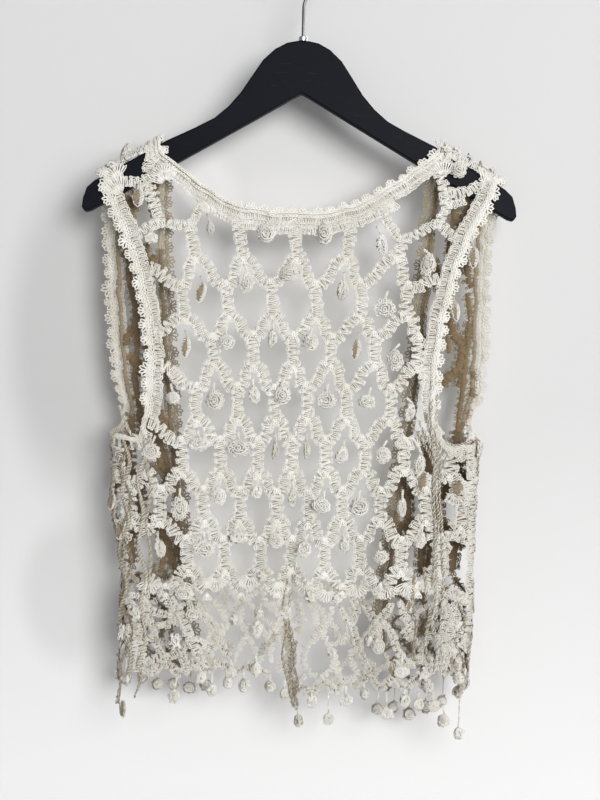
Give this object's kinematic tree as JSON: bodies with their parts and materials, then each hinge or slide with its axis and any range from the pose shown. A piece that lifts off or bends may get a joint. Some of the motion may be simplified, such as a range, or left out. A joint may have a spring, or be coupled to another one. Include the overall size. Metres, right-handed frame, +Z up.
{
  "type": "crochet vest on a hanger",
  "caption": "Sleeveless open-front crochet vest in a honeycomb mesh with scalloped edgings and a fringed hem, hanging on a flat hanger.",
  "frame": {"origin": "inside top of the hanger's hook, where a rail carries it", "axes": "+X to the wearer's right, which is the picture's right; +Y to the vest's fronts, away from the picture's camera; +Z up. The vest's back faces -Y"},
  "size_m": [0.44, 0.0441, 0.7865],
  "materials": {
    "cotton_mesh": "matte ecru cotton yarn",
    "cotton_edging": "matte ecru cotton yarn",
    "cotton_fringe": "matte ecru cotton yarn",
    "hanger_paint": "satin black paint",
    "ferrule_steel": "bright",
    "hook_wire": "satin black"
  },
  "bodies": {
    "root": {"back_panel": "cotton_mesh", "front_left": "cotton_mesh", "front_right": "cotton_mesh", "neck_edging": "cotton_edging", "armhole_edging_left": "cotton_edging", "armhole_edging_right": "cotton_edging", "front_edging_left": "cotton_edging", "front_edging_right": "cotton_edging", "back_hem_fringe": "cotton_fringe", "front_hem_fringe_left": "cotton_fringe", "front_hem_fringe_right": "cotton_fringe", "hanger_body": "hanger_paint", "hanger_ferrule": "ferrule_steel", "hanger_hook": "hook_wire"}
  },
  "joints": []
}
